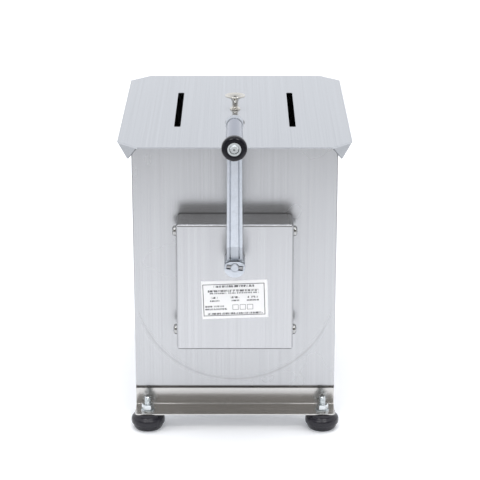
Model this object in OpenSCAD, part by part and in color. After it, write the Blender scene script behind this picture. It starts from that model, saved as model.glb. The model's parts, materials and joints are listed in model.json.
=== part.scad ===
// Manual meat mixer: a welded steel tank on four rubber feet, with a geared hand crank at the front,
// mixing paddles inside and a loose lid. X runs across the tank, Y from the crank to the back, Z up
// from the floor. The origin lies on the floor, at the middle of the whole machine.

/* [Tank] */
// Width over the end plates
body_w = 240; // [220:1:300]
// Length over both end plates
body_l = 316; // [280:1:420]
// Height of the tank rim above the floor
rim_z = 349; // [320:1:420]
// Height of the end plates' bottom edge above the floor
plate_z = 43; // [41:0.5:52]
// Thickness of the end plates and of the trough
sheet_t = 1.5; // [1:0.1:2]
// Depth of the edges bent back from each end plate
plate_return = 14; // [8:1:24]
// Outer radius of the end plates' upright bends
bend_r = 2; // [2:0.1:3]
// Outer radius of the bend along an end plate's bottom edge
plate_foot_r = 5; // [2.2:0.1:6]
// Height of the trough's lowest point above the end plates' bottom edge
trough_lift = 14.4; // [10:0.1:18]

/* [Foot rails] */
// Thickness of the angle rails
rail_t = 1.5; // [1:0.1:3]
// Height of the rail flange's upper face above the floor
rail_z = 22.2; // [20:0.1:26]
// How far the flange stands out from the end plate
rail_depth = 27.3; // [24:0.1:36]
// How far the rail's upright sits behind the plate's face
rail_set = 3.3; // [2:0.1:6]
// Inner radius of the rail's bend
rail_bend = 0.9; // [0.5:0.1:3]
// Radius of the flange's outer corners
rail_corner = 4; // [1:0.5:8]

/* [Feet] */
// Widest diameter of a rubber foot
foot_d = 40.4; // [36:0.2:48]
// Diameter of the face that a foot stands on
foot_base_d = 31; // [26:0.5:33]
// Height of a foot's widest part above the floor
foot_rim_z = 11.8; // [10:0.1:13]
// Distance of each foot from the end of its rail
foot_inset = 15; // [12:1:40]
// Distance of each foot from its end plate's face
foot_y = 14.7; // [12:0.1:18]
// Diameter of a foot's stud
stud_d = 8; // [6:0.5:9]
// Length of a stud above the rail flange
stud_l = 17.9; // [12:0.1:24]
// Width of a stud nut across its flats
nut_af = 13; // [12:0.5:16]
// Height of a stud nut
nut_h = 6.5; // [5:0.1:8]
// Diameter of a stud washer
washer_d = 17; // [16:0.5:20]
// Thickness of a stud washer
washer_t = 1.6; // [1:0.1:2]
// Diameter of a stud's head, held in the rubber
stud_head_d = 20; // [14:0.5:22]
// Thickness of a stud's head
stud_head_t = 3; // [2:0.5:4]

/* [Gear cover] */
// Width of the cover
cover_w = 136; // [120:1:180]
// Height of the cover
cover_h = 155; // [148:1:180]
// Height of the cover's top above the crank shaft
cover_above = 41; // [36:1:60]
// Thickness of the cover
cover_t = 1.5; // [1:0.1:2]
// Outer radius of the cover's edges
cover_r = 2.6; // [2.2:0.1:4]
// Outer radius of the cover's four corners
cover_corner_r = 4.5; // [4:0.1:6]
// Free space between the gears and the cover's front
cover_clear = 3.8; // [2:0.1:12]
// Half of the distance between the upper and the lower cover screws
cover_screw_z = 61.5; // [50:0.5:62]
// How far the middle of the cover screws lies above the cover's middle
cover_screw_up = 2; // [0:0.5:2.5]
// Distance of the cover screws from the end plate
cover_screw_d = 22; // [14:1:26]
// Diameter of a cover screw's thread
screw_d = 6; // [4:0.5:6]
// Diameter of a cover screw's head
screw_head_d = 12; // [8:0.1:12.4]
// Height of a cover screw's head
screw_head_h = 3.7; // [2:0.1:4.4]
// Diameter of a cover screw's washer
screw_washer_d = 12.8; // [12.6:0.1:14]
// Thickness of a cover screw's washer
screw_washer_t = 1; // [0.6:0.1:1.6]
// Thickness of the lugs that the cover is screwed to
lug_t = 3; // [2:0.5:5]
// Width of a lug
lug_w = 16; // [14:1:20]
// Length of a lug's foot along the end plate
lug_foot = 12; // [8:1:16]
// Width of the label
label_w = 77; // [60:1:100]
// Height of the label
label_h = 47; // [30:1:50]
// Thickness of the label
label_t = 0.3; // [0.2:0.1:1]
// Distance between the label and the crank's hub
label_gap = 15; // [8:1:20]
// Tilt of the label, in degrees
label_tilt = 2; // [0:0.5:5]

/* [Gears] */
// Size of the gear teeth: pitch diameter per tooth
gear_module = 2; // [1.8:0.1:2.2]
// Teeth of the pinion on the crank shaft
pinion_teeth = 17; // [17:2:21]
// Teeth of the gear on the paddle shaft
gear_teeth = 34; // [30:2:36]
// Width of the paddle gear's teeth
gear_w = 12; // [8:1:16]
// How much wider than the gear's teeth the pinion's are
pinion_extra = 2; // [1:0.5:4]
// Play between the teeth, measured along the pitch circle
backlash = 0.4; // [0.3:0.05:0.6]
// Length of the gears' hubs in front of their teeth
gear_hub_l = 6; // [4:0.5:10]
// Diameter of the paddle gear's hub
gear_hub_d = 40; // [34:1:46]
// Diameter of the pinion's hub
pinion_hub_d = 24; // [20:0.5:26]

/* [Shafts and bearings] */
// Diameter of the paddle shaft
paddle_shaft_d = 20; // [16:1:22]
// Diameter of the crank shaft
crank_shaft_d = 12; // [11:0.5:13]
// Wall of the bushes
bush_t = 4; // [3:0.5:5]
// Thickness of a bush's flange
bush_flange_t = 1.5; // [1:0.1:3]
// How far a bush's flange stands out beyond its wall
bush_flange_w = 3; // [2:0.5:6]
// Thickness of the flange of the bush in the cover
cover_flange_t = 3; // [2:0.5:5]
// How far the flange of the bush in the cover stands out beyond its wall
cover_flange_w = 1; // [0.5:0.5:3]
// Wall of the welded bearing bosses
boss_t = 8; // [5:0.5:9]
// Length of the bosses on the front plate
boss_l = 12; // [8:1:18]
// Length of the closed boss on the rear plate
rear_boss_l = 26; // [20:1:32]
// Thickness of the rear boss's end
rear_boss_end = 3; // [2:0.5:6]
// Thickness of the shaft seals inside the tank
seal_t = 5; // [3:0.5:8]
// Wall of the shaft seals
seal_wall = 9; // [6:0.5:12]
// Side of the paddle gear's square key
gear_key_s = 6; // [4:0.5:7]
// Side of the pinion's square key
pinion_key_s = 4; // [3:0.5:4.5]
// Thickness of the retaining rings
clip_t = 1.2; // [1:0.1:1.5]
// Wall of the retaining rings
clip_w = 3; // [2.2:0.1:4]
// Depth of the grooves for the retaining rings
clip_sink = 1; // [0.6:0.1:1.5]

/* [Paddles] */
// Number of paddles along the shaft
paddle_count = 6; // [4:1:8]
// Gap between the blades' tips and the trough
sweep_gap = 7; // [4:0.5:20]
// Gap between the end blades and the shaft seals
paddle_end_gap = 4; // [2:0.5:20]
// Diameter of the bars that carry the blades
paddle_arm_d = 12; // [8:0.5:16]
// Length of a blade, along its bar
blade_l = 46; // [30:1:60]
// Width of a blade
blade_w = 56; // [30:1:60]
// Thickness of a blade
blade_t = 4; // [3:0.5:6]
// Pitch of the blades, in degrees
blade_pitch = 40; // [20:1:50]

/* [Crank] */
// Distance from the crank shaft to the grip
crank_r = 170; // [140:1:180]
// Diameter of the crank's hub
hub_d = 24; // [22:0.5:30]
// Length of the crank's hub
hub_l = 28.5; // [24:0.5:36]
// Height above the shaft at which the hub's face is cut back
hub_flat = 6.8; // [6.4:0.1:8]
// How far the hub's face drops beside that cut
hub_shoulder = 3.2; // [2:0.1:3.6]
// Width of the crank arm at the hub
arm_w = 18.4; // [16:0.1:20]
// Width of the crank arm at the grip
arm_top_w = 16.8; // [15:0.1:18]
// Thickness of the crank arm
arm_t = 10; // [8:0.5:14]
// Width of the ribs along the arm's edges
rib_w = 3.3; // [2.5:0.1:4.5]
// Depth of the channel between the ribs
channel_depth = 2; // [1:0.1:3]
// How far the ribs start behind the hub's face
arm_set = 4.2; // [3:0.1:6]
// How far the arm's straight part stands out past the hub's face
arm_offset = 5.8; // [2:0.1:12]
// Height above the shaft at which the arm starts to slope outwards
slope_start = 8; // [7:0.5:14]
// Height above the shaft at which the arm runs straight again
slope_end = 27; // [22:0.5:36]
// Diameter of the boss at the arm's end
grip_boss_d = 19.4; // [18:0.2:24]
// How far that boss stands out from the arm
grip_boss_out = 2.5; // [1:0.1:5]
// Diameter of the pin through the crank shaft
pin_d = 4.4; // [3:0.1:5]
// Length of the pin through the crank shaft
pin_l = 18.4; // [16:0.1:19]
// Distance of the pin's middle behind the hub's face
pin_sink = 2.8; // [2.6:0.1:4]
// Play of the pin in its pocket in the hub's face
pin_play = 0.6; // [0.2:0.1:1]
// Tilt of the pin when the crank stands upright, in degrees
pin_tilt = -7; // [-20:1:20]
// Diameter of the crank shaft's end, inside the hub
shaft_end_d = 9.6; // [8:0.1:10]
// How far the shaft's end stands out of the hub
shaft_end_out = 0.8; // [0.4:0.1:3]

/* [Grip] */
// Diameter of the grip sleeve next to the arm
sleeve_d0 = 17.8; // [16:0.1:24]
// Diameter of the grip sleeve at its outer end
sleeve_d1 = 20; // [18:0.1:25]
// Length of the grip sleeve
sleeve_l = 80; // [60:1:110]
// Diameter of the ring at the grip's end
end_ring_d = 27.6; // [26:0.2:34]
// Length of the ring at the grip's end
end_ring_l = 12; // [10:0.5:18]
// Radius of that ring's rounded edges
end_ring_r = 4.5; // [2:0.1:4.8]
// Diameter of the grip bolt
grip_bolt_d = 8; // [6:0.5:9]
// Diameter of the grip bolt's head
grip_head_d = 14.6; // [13:0.2:17]
// Thickness of the grip bolt's flat head
grip_head_t = 2; // [1.5:0.1:3]
// Diameter of the raised button on the bolt's head
grip_button_d = 10.4; // [8:0.2:12]
// Height of that button
grip_button_h = 1.4; // [0.8:0.1:2]
// Diameter of the dimple in that button
dimple_d = 2.2; // [1:0.1:3]
// Depth of the ring's recess for the bolt's head
head_recess = 3; // [2:0.1:5]

/* [Lid] */
// Thickness of the lid
lid_t = 1.2; // [0.8:0.1:1.5]
// Overhang of the lid past the sides
lid_over_x = 17; // [17:0.5:24]
// Overhang of the lid past the end plates
lid_over_y = 10.5; // [10.5:0.5:20]
// Length of the lid's edges that are folded down at each corner
corner_leg = 25; // [16:0.5:25]
// Width of the blunt tip of a folded corner
tip_w = 1.5; // [1:0.5:8]
// Width of the lid's slots
slot_w = 7.5; // [6:0.1:12]
// Length of the lid's slots
slot_l = 160; // [100:1:200]
// Radius of the slots' corners
slot_r = 2; // [0.5:0.1:2.5]
// Distance of the slots from the lid's middle
slot_x = 69; // [50:1:90]
// Diameter of the lid's knob
knob_d = 25; // [20:0.5:36]
// Height of the knob's rim above the lid
knob_rim_z = 17; // [15:0.5:24]
// Diameter of the knob's foot
knob_foot_d = 13; // [12:0.5:18]
// Height of the knob's foot
knob_foot_h = 1.8; // [1:0.1:4]
// Diameter of the knob's neck
knob_neck_d = 7.4; // [7:0.1:10]
// Height at which the knob's neck starts to flare out
knob_flare_z = 9.5; // [8:0.5:12]
// Diameter of the knob's screw
knob_screw_d = 4; // [3:0.5:5]
// Diameter of the head of the knob's screw
knob_screw_head_d = 8; // [7:0.5:11]
// Height of the head of the knob's screw
knob_screw_head_h = 2.6; // [2:0.1:4]

/* [Hidden] */
$fn = 64;

// Clearances
cut = 1;              // how far a cutter runs past the faces that it cuts
sheet_fit = 0.1;      // between sheets that lie side by side
seat_fit = 0.05;      // around a piece that stays put in its hole
run_fit = 0.05;       // around a shaft that turns in its bush
run_gap = 0.3;        // between the end faces of turning and standing pieces
hole_fit = 0.4;       // around a screw or stud in its hole
lid_gap = 0.2;        // between the lid and the tank rim

// Trough and the two shaft heights
trough_r = body_w / 2 - max(bend_r, sheet_t + sheet_fit);
paddle_z = plate_z + trough_lift + trough_r;
crank_z = paddle_z + gear_module * (pinion_teeth + gear_teeth) / 2;
sweep_r = trough_r - sheet_t - sweep_gap;

// Gears, as distances forward of the front plate's face
bush_end = boss_l + bush_flange_t;
hub_start = bush_end + run_gap;
pinion_back = hub_start + run_gap;
pinion_face = pinion_back + gear_w + pinion_extra;
teeth_back = pinion_back + pinion_extra / 2;
hub_end = pinion_face + gear_hub_l;
clip_back = hub_end + seat_fit;
clip_end = clip_back + clip_t + seat_fit;
paddle_shaft_front = clip_end + clip_w / 2;
cover_d = paddle_shaft_front + cover_clear + cover_t;

// Crank, as distances forward of the front plate's face
cover_bush_front = cover_d + cover_flange_t;
hub_back = cover_bush_front + run_gap;
hub_front = hub_back + hub_l;
rib_low = hub_front - arm_set;
rib_high = hub_front + arm_offset;
arm_back = rib_high - arm_t;
pin_forward = hub_front - pin_sink;
grip_boss_front = rib_high + grip_boss_out;
sleeve_back = grip_boss_front + run_gap;
ring_back = sleeve_back + sleeve_l;
ring_front = ring_back + end_ring_l;
head_seat = ring_front - head_recess + run_gap;
crank_front = head_seat + grip_head_t + grip_button_h;

// Reach of the whole machine to both sides of the front plate's face
reach_front = max(crank_front, ring_front);
reach_back = body_l + max(foot_y + foot_d / 2, rail_depth, rear_boss_l);
front_y = (reach_front - reach_back) / 2;

// Cover
cover_mid = crank_z + cover_above - cover_h / 2;
screw_mid = cover_mid + cover_screw_up;
lug_face = cover_w / 2 - cover_t - sheet_fit;
lug_l = cover_screw_d + lug_w / 2;
label_z = crank_z - hub_d / 2 - label_gap - label_h / 2;

// Bearings
crank_bush_r = crank_shaft_d / 2 + run_fit + bush_t;
paddle_bush_r = paddle_shaft_d / 2 + run_fit + bush_t;
rear_bush_l = rear_boss_l - rear_boss_end;
paddle_shaft_back = rear_bush_l - run_gap;
seal_r = paddle_shaft_d / 2 + seal_wall;

// Paddles
blade_root = sweep_r - blade_l;
blade_reach = (blade_w * cos(blade_pitch) + blade_t * sin(blade_pitch)) / 2;
paddle_first = sheet_t + seal_t + paddle_end_gap + blade_reach;
paddle_step = (body_l - 2 * paddle_first) / (paddle_count - 1);

// Feet
foot_x = body_w / 2 - foot_inset;
foot_top = rail_z - rail_t;
foot_rim_r = 4.6;
foot_edge = 1.5;
foot_step = 2;
stud_head_z = foot_rim_z - stud_head_t / 2;
nut_bevel = 0.6;

// Lid
lid_w = body_w + 2 * lid_over_x;
lid_l = body_l + 2 * lid_over_y;
lid_z = rim_z + lid_gap;
lid_top = lid_z + lid_t;
fold_l = corner_leg * sqrt(2);
tab_h = (fold_l - tip_w) / 2;
knob_rim_r = 1.2;
knob_dish = 1.6;
knob_screw_in = knob_flare_z;

// Gear teeth
pressure = 20;
flank_steps = 5;
root_depth = 1.25;

function involute(base_r, r) = let (a = acos(base_r / r)) tan(a) * 180 / PI - a;
function gear_outline(teeth) = let (
    pitch_r = gear_module * teeth / 2,
    base_r = pitch_r * cos(pressure),
    tip_r = pitch_r + gear_module,
    root_r = pitch_r - root_depth * gear_module,
    flank_r = max(base_r, root_r),
    half = 90 / teeth - backlash / 4 / pitch_r * 180 / PI + involute(base_r, pitch_r),
    flank = concat(
        root_r < flank_r ? [[root_r, half]] : [],
        [for (i = [0 : flank_steps])
            let (r = flank_r + (tip_r - flank_r) * i / flank_steps)
            [r, half - involute(base_r, r)]]
    ),
    last = len(flank) - 1
) [
    for (tooth = [0 : teeth - 1], i = [0 : 2 * last + 1])
        let (
            rising = i <= last,
            p = flank[rising ? i : 2 * last + 1 - i],
            angle = 90 + tooth * 360 / teeth + (rising ? -p[1] : p[1])
        )
        p[0] * [cos(angle), sin(angle)]
];

// Places: pieces are drawn with y = 0 at the front plate's face, then moved as one
module place() {
    translate([0, front_y, 0]) children();
}

module at_rear() {
    translate([0, body_l, 0]) mirror([0, 1, 0]) children();
}

// Front view at a height: x across, y up, z forward of the front plate's face
module front_view(z) {
    translate([0, 0, z]) rotate([90, 0, 0]) children();
}

// Outline drawn along the depth and the height, given a width across
module across(width) {
    rotate([90, 0, 90]) linear_extrude(width, center = true) children();
}

module at_feet() {
    for (side = [-1, 1]) translate([side * foot_x, -foot_y, 0]) children();
}

module at_cover_screws() {
    for (side = [0, 1], level = [-1, 1])
        mirror([side, 0, 0])
            translate([cover_w / 2, -cover_screw_d, screw_mid + level * cover_screw_z])
                rotate([0, 90, 0]) children();
}

// Solids of revolution along a view's forward axis
module disc(back, front, r) {
    translate([0, 0, back]) cylinder(r = r, h = front - back);
}

module ring(back, front, outer_r, inner_r) {
    difference() {
        disc(back, front, outer_r);
        disc(back - cut, front + cut, inner_r);
    }
}

// Outline of a sheet bent round at both far corners
module bent_outline(width, depth, r, start) {
    translate([-width / 2, start]) square([width, depth - r - start]);
    translate([r - width / 2, start]) square([width - 2 * r, depth - start]);
    for (side = [-1, 1]) translate([side * (width / 2 - r), depth - r]) circle(r);
}

// Block with bends along all edges of its front face
module bent_block(width, height, depth, side_r, end_r, start = 0) {
    intersection() {
        rotate([90, 0, 0]) linear_extrude(height, center = true)
            bent_outline(width, depth, side_r, start);
        across(width) bent_outline(height, depth, end_r, start);
    }
}

module rounded_rectangle(width, height, r) {
    square([width, height - 2 * r], center = true);
    square([width - 2 * r, height], center = true);
    for (x = [-1, 1], y = [-1, 1])
        translate([x * (width / 2 - r), y * (height / 2 - r)]) circle(r);
}

module hex_nut(height, flats, bore_r) {
    corner_r = flats / sqrt(3);
    difference() {
        intersection() {
            cylinder(r = corner_r, h = height, $fn = 6);
            cylinder(r1 = corner_r + nut_bevel * height, r2 = flats / 2, h = height);
        }
        translate([0, 0, -cut]) cylinder(r = bore_r, h = height + 2 * cut);
    }
}

module key_bar(shaft_r, side, fit) {
    translate([-side / 2 - fit, shaft_r - side / 2 - fit, hub_start - fit])
        cube([side + 2 * fit, side + 2 * fit, hub_end - hub_start + 2 * fit]);
}

module clip_ring(shaft_r) {
    inner_r = shaft_r - clip_sink + seat_fit;
    difference() {
        ring(clip_back, clip_back + clip_t, inner_r + clip_w, inner_r);
        translate([-clip_w / 2, -shaft_r - 2 * clip_w, clip_back - cut])
            cube([clip_w, shaft_r + 2 * clip_w, clip_t + 2 * cut]);
    }
}

module clip_groove(shaft_r) {
    ring(hub_end, clip_end, shaft_r + cut, shaft_r - clip_sink);
}

module wheel(back, front, hub_r, bore_r, key_s) {
    difference() {
        union() {
            translate([0, 0, back]) linear_extrude(front - back) children();
            disc(hub_start, hub_end, hub_r);
        }
        disc(hub_start - cut, hub_end + cut, bore_r + seat_fit);
        key_bar(bore_r, key_s, seat_fit);
    }
}

// Tank
module end_plate() {
    pan_h = 2 * (rim_z - plate_z);
    front_view(rim_z) difference() {
        translate([0, 0, -plate_return]) difference() {
            bent_block(body_w, pan_h, plate_return, bend_r, plate_foot_r);
            bent_block(
                body_w - 2 * sheet_t, pan_h - 2 * sheet_t, plate_return - sheet_t,
                bend_r - sheet_t, plate_foot_r - sheet_t, -cut
            );
        }
        translate([-body_w, 0, -plate_return - cut])
            cube([2 * body_w, pan_h, plate_return + 2 * cut]);
        translate([0, paddle_z - rim_z, 0])
            disc(-sheet_t - cut, cut, paddle_bush_r + seat_fit);
    }
}

module front_plate() {
    color("silver") place() end_plate();
}

module rear_plate() {
    color("silver") place() at_rear() end_plate();
}

module u_shape(r, top) {
    circle(r);
    translate([-r, 0]) square([2 * r, top]);
}

module trough() {
    wall_h = rim_z - paddle_z;
    color("lightgray") place() front_view(paddle_z)
        translate([0, 0, sheet_t - body_l]) linear_extrude(body_l - 2 * sheet_t)
            difference() {
                u_shape(trough_r, wall_h);
                u_shape(trough_r - sheet_t, wall_h + cut);
            }
}

// Foot rails and feet
module rail_outline() {
    web_y = rail_set - rail_bend;
    bend_z = rail_z + rail_bend;
    outer_r = rail_bend + rail_t;
    translate([rail_set, bend_z]) square([rail_t, plate_z - bend_z]);
    translate([-rail_depth, foot_top]) square([rail_depth + web_y, rail_t]);
    translate([web_y, bend_z]) intersection() {
        difference() {
            circle(outer_r);
            circle(rail_bend);
        }
        translate([0, -outer_r]) square(outer_r);
    }
}

module foot_rail() {
    difference() {
        intersection() {
            across(body_w) rail_outline();
            translate([0, rail_set + rail_t, 0]) mirror([0, 1, 0]) linear_extrude(plate_z)
                bent_outline(body_w, rail_depth + rail_set + rail_t, rail_corner, 0);
        }
        at_feet() cylinder(d = stud_d + hole_fit, h = rail_z + cut);
    }
}

module front_foot_rail() {
    color("darkgray") place() foot_rail();
}

module rear_foot_rail() {
    color("darkgray") place() at_rear() foot_rail();
}

module stud(fit) {
    translate([0, 0, stud_head_z - fit])
        cylinder(d = stud_head_d + 2 * fit, h = stud_head_t + 2 * fit);
    translate([0, 0, stud_head_z])
        cylinder(d = stud_d + 2 * fit, h = rail_z + stud_l - stud_head_z);
}

module foot_outline() {
    base_r = foot_base_d / 2;
    rim_x = foot_d / 2 - foot_rim_r;
    step_x = foot_d / 2 - foot_step;
    polygon([
        [0, 0], [base_r - foot_edge, 0], [base_r, foot_edge],
        [step_x, foot_rim_z - foot_rim_r], [step_x, foot_rim_z],
        [rim_x, foot_rim_z + foot_rim_r], [base_r, foot_top], [0, foot_top]
    ]);
    translate([rim_x, foot_rim_z]) circle(foot_rim_r);
}

module rubber_foot(side) {
    translate([side * foot_x, -foot_y, 0]) difference() {
        rotate_extrude() foot_outline();
        stud(seat_fit);
    }
}

module foot_front_left() {
    color("black") place() rubber_foot(-1);
}

module foot_front_right() {
    color("black") place() rubber_foot(1);
}

module foot_rear_left() {
    color("black") place() at_rear() rubber_foot(-1);
}

module foot_rear_right() {
    color("black") place() at_rear() rubber_foot(1);
}

module at_all_feet() {
    at_feet() children();
    at_rear() at_feet() children();
}

module foot_studs() {
    color("gainsboro") place() at_all_feet() stud(0);
}

module foot_washers() {
    color("gainsboro") place() at_all_feet() translate([0, 0, rail_z])
        ring(0, washer_t, washer_d / 2, stud_d / 2 + hole_fit / 2);
}

module foot_nuts() {
    color("gainsboro") place() at_all_feet() translate([0, 0, rail_z + washer_t])
        hex_nut(nut_h, nut_af, stud_d / 2 + seat_fit);
}

// Gear cover
module cover_block(inset, depth, start) {
    width = cover_w - 2 * inset;
    height = cover_h - 2 * inset;
    edge_r = cover_r - inset;
    intersection() {
        bent_block(width, height, depth, edge_r, edge_r, start);
        translate([0, 0, start]) linear_extrude(depth - start)
            rounded_rectangle(width, height, cover_corner_r - inset);
    }
}

module gear_cover() {
    color("silver") place() difference() {
        front_view(cover_mid) difference() {
            cover_block(0, cover_d, 0);
            cover_block(cover_t, cover_d - cover_t, -cut);
        }
        front_view(crank_z) disc(cover_d - cover_t - cut, cover_d + cut, crank_bush_r + seat_fit);
        at_cover_screws() disc(-cover_t - cut, cut, (screw_d + hole_fit) / 2);
    }
}

module cover_lugs() {
    color("silver") place() difference() {
        for (side = [0, 1], level = [-1, 1])
            mirror([side, 0, 0])
                translate([lug_face, 0, screw_mid + level * cover_screw_z - lug_w / 2]) {
                    translate([-lug_t, -lug_l, 0]) cube([lug_t, lug_l, lug_w]);
                    translate([-lug_foot, -lug_t, 0]) cube([lug_foot, lug_t, lug_w]);
                }
        at_cover_screws() disc(-cover_t - lug_foot, cut, screw_d / 2 + seat_fit);
    }
}

module cover_screws() {
    crown_r = (screw_head_d ^ 2 / 4 + screw_head_h ^ 2) / (2 * screw_head_h);
    color("gainsboro") place() at_cover_screws() {
        disc(-cover_t - sheet_fit - 2 * lug_t, screw_washer_t, screw_d / 2);
        translate([0, 0, screw_washer_t]) intersection() {
            cylinder(d = screw_head_d, h = screw_head_h);
            translate([0, 0, screw_head_h - crown_r]) sphere(crown_r);
        }
    }
}

module cover_washers() {
    color("gainsboro") place() at_cover_screws()
        ring(0, screw_washer_t, screw_washer_d / 2, (screw_d + hole_fit) / 2);
}

module cover_bush() {
    color("ivory") place() front_view(crank_z) difference() {
        union() {
            disc(cover_d - cover_t - bush_t / 2, cover_d, crank_bush_r);
            disc(cover_d, cover_bush_front, crank_bush_r + cover_flange_w);
        }
        disc(0, cover_bush_front + cut, crank_shaft_d / 2 + run_fit);
    }
}

module label_plate() {
    color("white") place() front_view(label_z) rotate([0, 0, label_tilt])
        translate([-label_w / 2, -label_h / 2, cover_d]) cube([label_w, label_h, label_t]);
}

// Bearings
module flanged_bush(back, shaft_r, bush_r) {
    difference() {
        union() {
            disc(back, boss_l, bush_r);
            disc(boss_l, bush_end, bush_r + bush_flange_w);
        }
        disc(back - cut, bush_end + cut, shaft_r + run_fit);
    }
}

module crank_boss() {
    bore_r = crank_bush_r + seat_fit;
    color("silver") place() front_view(crank_z) ring(0, boss_l, bore_r + boss_t, bore_r);
}

module crank_bush() {
    color("ivory") place() front_view(crank_z) flanged_bush(0, crank_shaft_d / 2, crank_bush_r);
}

module front_boss() {
    bore_r = paddle_bush_r + seat_fit;
    color("silver") place() front_view(paddle_z) ring(0, boss_l, bore_r + boss_t, bore_r);
}

module front_bush() {
    color("ivory") place() front_view(paddle_z)
        flanged_bush(-sheet_t, paddle_shaft_d / 2, paddle_bush_r);
}

module shaft_seal() {
    front_view(paddle_z)
        ring(-sheet_t - seal_t, -sheet_t, seal_r, paddle_shaft_d / 2 + run_fit);
}

module front_seal() {
    color("dimgray") place() shaft_seal();
}

module rear_boss() {
    bore_r = paddle_bush_r + seat_fit;
    color("silver") place() at_rear() front_view(paddle_z) difference() {
        disc(0, rear_boss_l, bore_r + boss_t);
        disc(-cut, rear_bush_l, bore_r);
    }
}

module rear_bush() {
    color("ivory") place() at_rear() front_view(paddle_z)
        ring(-sheet_t, rear_bush_l, paddle_bush_r, paddle_shaft_d / 2 + run_fit);
}

module rear_seal() {
    color("dimgray") place() at_rear() shaft_seal();
}

// Paddles
module paddle_shaft() {
    shaft_r = paddle_shaft_d / 2;
    color("gainsboro") place() front_view(paddle_z) difference() {
        disc(-body_l - paddle_shaft_back, paddle_shaft_front, shaft_r);
        key_bar(shaft_r, gear_key_s, seat_fit);
        clip_groove(shaft_r);
    }
}

module paddle_gear() {
    color("darkgray") place() front_view(paddle_z)
        wheel(teeth_back, teeth_back + gear_w, gear_hub_d / 2, paddle_shaft_d / 2, gear_key_s)
            polygon(gear_outline(gear_teeth));
}

module gear_key() {
    color("gray") place() front_view(paddle_z) key_bar(paddle_shaft_d / 2, gear_key_s, 0);
}

module gear_clip() {
    color("gray") place() front_view(paddle_z) clip_ring(paddle_shaft_d / 2);
}

module at_paddles() {
    for (i = [0 : paddle_count - 1])
        rotate([0, 0, i * 360 / paddle_count])
            translate([0, 0, -paddle_first - i * paddle_step]) children();
}

module paddle_arms() {
    color("gainsboro") place() front_view(paddle_z) difference() {
        at_paddles() rotate([-90, 0, 0]) cylinder(d = paddle_arm_d, h = blade_root);
        disc(-body_l, 0, paddle_shaft_d / 2 + seat_fit);
    }
}

module paddle_blades() {
    color("gainsboro") place() front_view(paddle_z) intersection() {
        at_paddles() rotate([0, blade_pitch, 0])
            translate([-blade_t / 2, blade_root, -blade_w / 2]) cube([blade_t, blade_l, blade_w]);
        disc(-body_l, 0, sweep_r);
    }
}

// Crank
module crank_shaft() {
    shaft_r = crank_shaft_d / 2;
    color("gainsboro") place() front_view(crank_z) difference() {
        union() {
            disc(run_gap, hub_back, shaft_r);
            disc(hub_back, hub_front, shaft_end_d / 2);
            translate([0, 0, hub_front])
                cylinder(d1 = shaft_end_d, d2 = shaft_end_d - 2 * shaft_end_out, h = shaft_end_out);
        }
        key_bar(shaft_r, pinion_key_s, seat_fit);
        clip_groove(shaft_r);
        cross_pin(seat_fit);
    }
}

module cross_pin(fit) {
    translate([0, 0, pin_forward]) rotate([0, 90, pin_tilt])
        cylinder(d = pin_d + 2 * fit, h = pin_l + 2 * fit, center = true);
}

module crank_pin() {
    color("gray") place() front_view(crank_z) cross_pin(0);
}

module drive_pinion() {
    color("darkgray") place() front_view(crank_z)
        wheel(pinion_back, pinion_face, pinion_hub_d / 2, crank_shaft_d / 2, pinion_key_s)
            polygon(gear_outline(pinion_teeth));
}

module pinion_key() {
    color("gray") place() front_view(crank_z) key_bar(crank_shaft_d / 2, pinion_key_s, 0);
}

module pinion_clip() {
    color("gray") place() front_view(crank_z) clip_ring(crank_shaft_d / 2);
}

module arm_bar() {
    intersection() {
        across(arm_w) polygon([
            [0, rib_low], [slope_start, rib_low], [slope_end, rib_high], [crank_r, rib_high],
            [crank_r, arm_back], [slope_end, arm_back],
            [slope_start, rib_low - arm_t], [0, rib_low - arm_t]
        ]);
        linear_extrude(grip_boss_front) polygon([
            [-arm_w / 2, 0], [arm_w / 2, 0], [arm_top_w / 2, crank_r], [-arm_top_w / 2, crank_r]
        ]);
    }
}

module arm_channel() {
    low = rib_low - channel_depth;
    high = rib_high - channel_depth;
    open = grip_boss_front + cut;
    across(arm_top_w - 2 * rib_w) polygon([
        [hub_flat, low], [slope_start, low], [slope_end, high], [crank_r, high],
        [crank_r, open], [hub_flat, open]
    ]);
}

module hub_cut() {
    inner = arm_top_w / 2 - rib_w;
    outer = hub_d / 2 + cut;
    low = hub_flat - hub_shoulder;
    translate([0, 0, rib_low]) linear_extrude(arm_set + cut) polygon([
        [-outer, low], [-inner, hub_flat], [inner, hub_flat], [outer, low], [outer, hub_d], [-outer, hub_d]
    ]);
}

module crank_arm() {
    pocket_w = pin_d + pin_play;
    pocket_l = pin_l + pin_play;
    color("gainsboro") place() front_view(crank_z) difference() {
        union() {
            difference() {
                union() {
                    difference() {
                        disc(hub_back, hub_front, hub_d / 2);
                        hub_cut();
                    }
                    arm_bar();
                }
                arm_channel();
            }
            translate([0, crank_r, 0]) disc(arm_back, grip_boss_front, grip_boss_d / 2);
        }
        disc(hub_back - cut, hub_front + cut, shaft_end_d / 2 + seat_fit);
        translate([0, 0, pin_forward - pin_d / 2 - seat_fit]) rotate([0, 0, pin_tilt])
            translate([-pocket_l / 2, -pocket_w / 2, 0]) cube([pocket_l, pocket_w, hub_l]);
        translate([0, crank_r, 0]) disc(0, grip_boss_front + cut, grip_bolt_d / 2 + seat_fit);
    }
}

// Grip
module grip_bolt() {
    button_z = head_seat + grip_head_t;
    color("gainsboro") place() front_view(crank_z + crank_r) difference() {
        union() {
            disc(arm_back - nut_h, head_seat, grip_bolt_d / 2);
            disc(head_seat, button_z, grip_head_d / 2);
            translate([0, 0, button_z])
                cylinder(d1 = grip_button_d, d2 = grip_button_d - 2 * grip_button_h, h = grip_button_h);
        }
        translate([0, 0, crank_front]) sphere(d = dimple_d);
    }
}

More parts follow.
